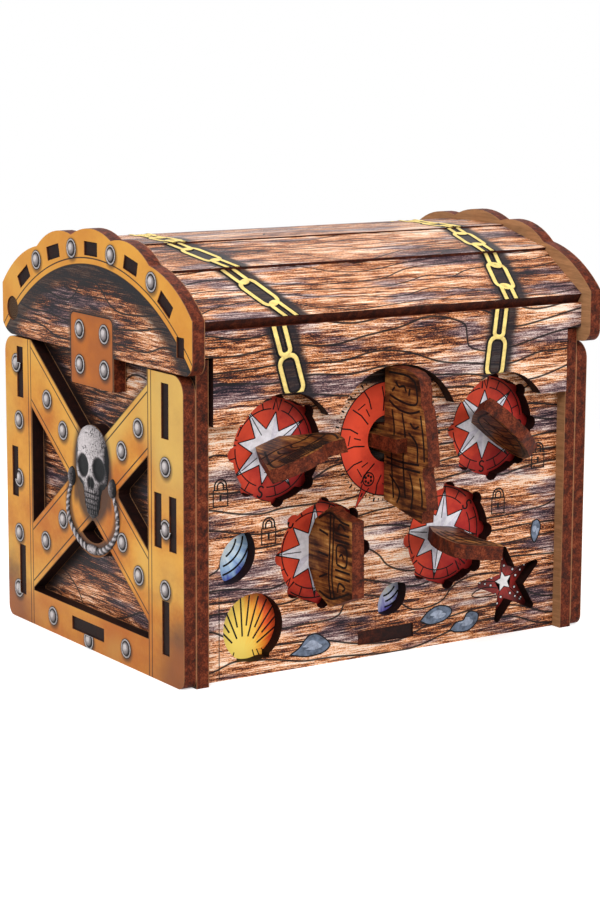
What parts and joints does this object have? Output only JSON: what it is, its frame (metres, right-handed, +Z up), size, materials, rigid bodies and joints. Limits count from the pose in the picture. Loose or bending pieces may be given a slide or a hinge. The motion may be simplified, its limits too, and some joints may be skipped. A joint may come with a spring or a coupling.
{
  "type": "puzzle treasure chest",
  "caption": "Toy treasure chest of laser-cut boards with a vaulted lid hinged at the rear and turning compass dials with picture tokens in its front.",
  "frame": {"origin": "middle of the closed chest's bounding box, lid and tokens included, on the ground", "axes": "+X to the right seen from the front, +Y to the rear where the hinge is, +Z up"},
  "size_m": [0.1396, 0.1306, 0.122],
  "materials": {
    "print_gold": "satin print on thin board, cut edges burnt dark red-brown",
    "print_plank": "satin printed driftwood planks on thin board, cut edges burnt",
    "bare_board": "bare thin plywood, cut edges burnt",
    "print_compass": "satin printed compass on thin board",
    "print_token": "satin dark printed token on thin board, cut edges burnt",
    "dowel": "bare round stick"
  },
  "bodies": {
    "chest": {"bottom_panel": "bare_board", "side_panel_left": "print_plank", "side_panel_right": "print_plank", "side_frame_left": "print_gold", "side_frame_right": "print_gold", "front_panel": "print_plank", "front_mid": "print_plank", "front_inner": "bare_board", "rear_panel": "print_plank", "rear_inner": "bare_board", "hinge_pin_left": "dowel", "hinge_pin_right": "dowel"},
    "lid": {"lid_end_left": "print_gold", "lid_end_right": "print_gold", "slat_1": "print_plank", "slat_2": "print_plank", "slat_3": "print_plank", "slat_4": "print_plank", "slat_5": "print_plank", "lid_skirt": "print_plank", "lid_rear_rail": "print_plank"},
    "dial_upper_left": {"disc_upper_left": "print_compass", "token_bottle": "print_token", "cap_upper_left": "bare_board"},
    "dial_upper_right": {"disc_upper_right": "print_compass", "token_helmet": "print_token", "cap_upper_right": "bare_board"},
    "dial_lower_left": {"disc_lower_left": "print_compass", "token_strongbox": "print_token", "cap_lower_left": "bare_board"},
    "dial_lower_right": {"disc_lower_right": "print_compass", "token_parrot": "print_token", "cap_lower_right": "bare_board"},
    "dial_centre": {"hub_centre": "bare_board", "token_captain": "print_token", "cross_peg": "print_token", "cap_centre": "bare_board"}
  },
  "joints": [
    {"name": "lid_hinge", "type": "hinge", "parent": "chest", "child": "lid", "pos_m": [0, 0.0589, 0.0947], "axis": [-1, 0, 0], "range_deg": [0, 100]},
    {"name": "dial_upper_left_turn", "type": "hinge", "parent": "chest", "child": "dial_upper_left", "pos_m": [-0.0373, -0.0365, 0.063], "axis": [0, -1, 0], "continuous": true},
    {"name": "dial_upper_right_turn", "type": "hinge", "parent": "chest", "child": "dial_upper_right", "pos_m": [0.0373, -0.0365, 0.063], "axis": [0, -1, 0], "continuous": true},
    {"name": "dial_lower_left_turn", "type": "hinge", "parent": "chest", "child": "dial_lower_left", "pos_m": [-0.0219, -0.0365, 0.0323], "axis": [0, -1, 0], "continuous": true},
    {"name": "dial_lower_right_turn", "type": "hinge", "parent": "chest", "child": "dial_lower_right", "pos_m": [0.0219, -0.0365, 0.0323], "axis": [0, -1, 0], "continuous": true},
    {"name": "dial_centre_turn", "type": "hinge", "parent": "chest", "child": "dial_centre", "pos_m": [0, -0.0365, 0.063], "axis": [0, -1, 0], "continuous": true}
  ]
}
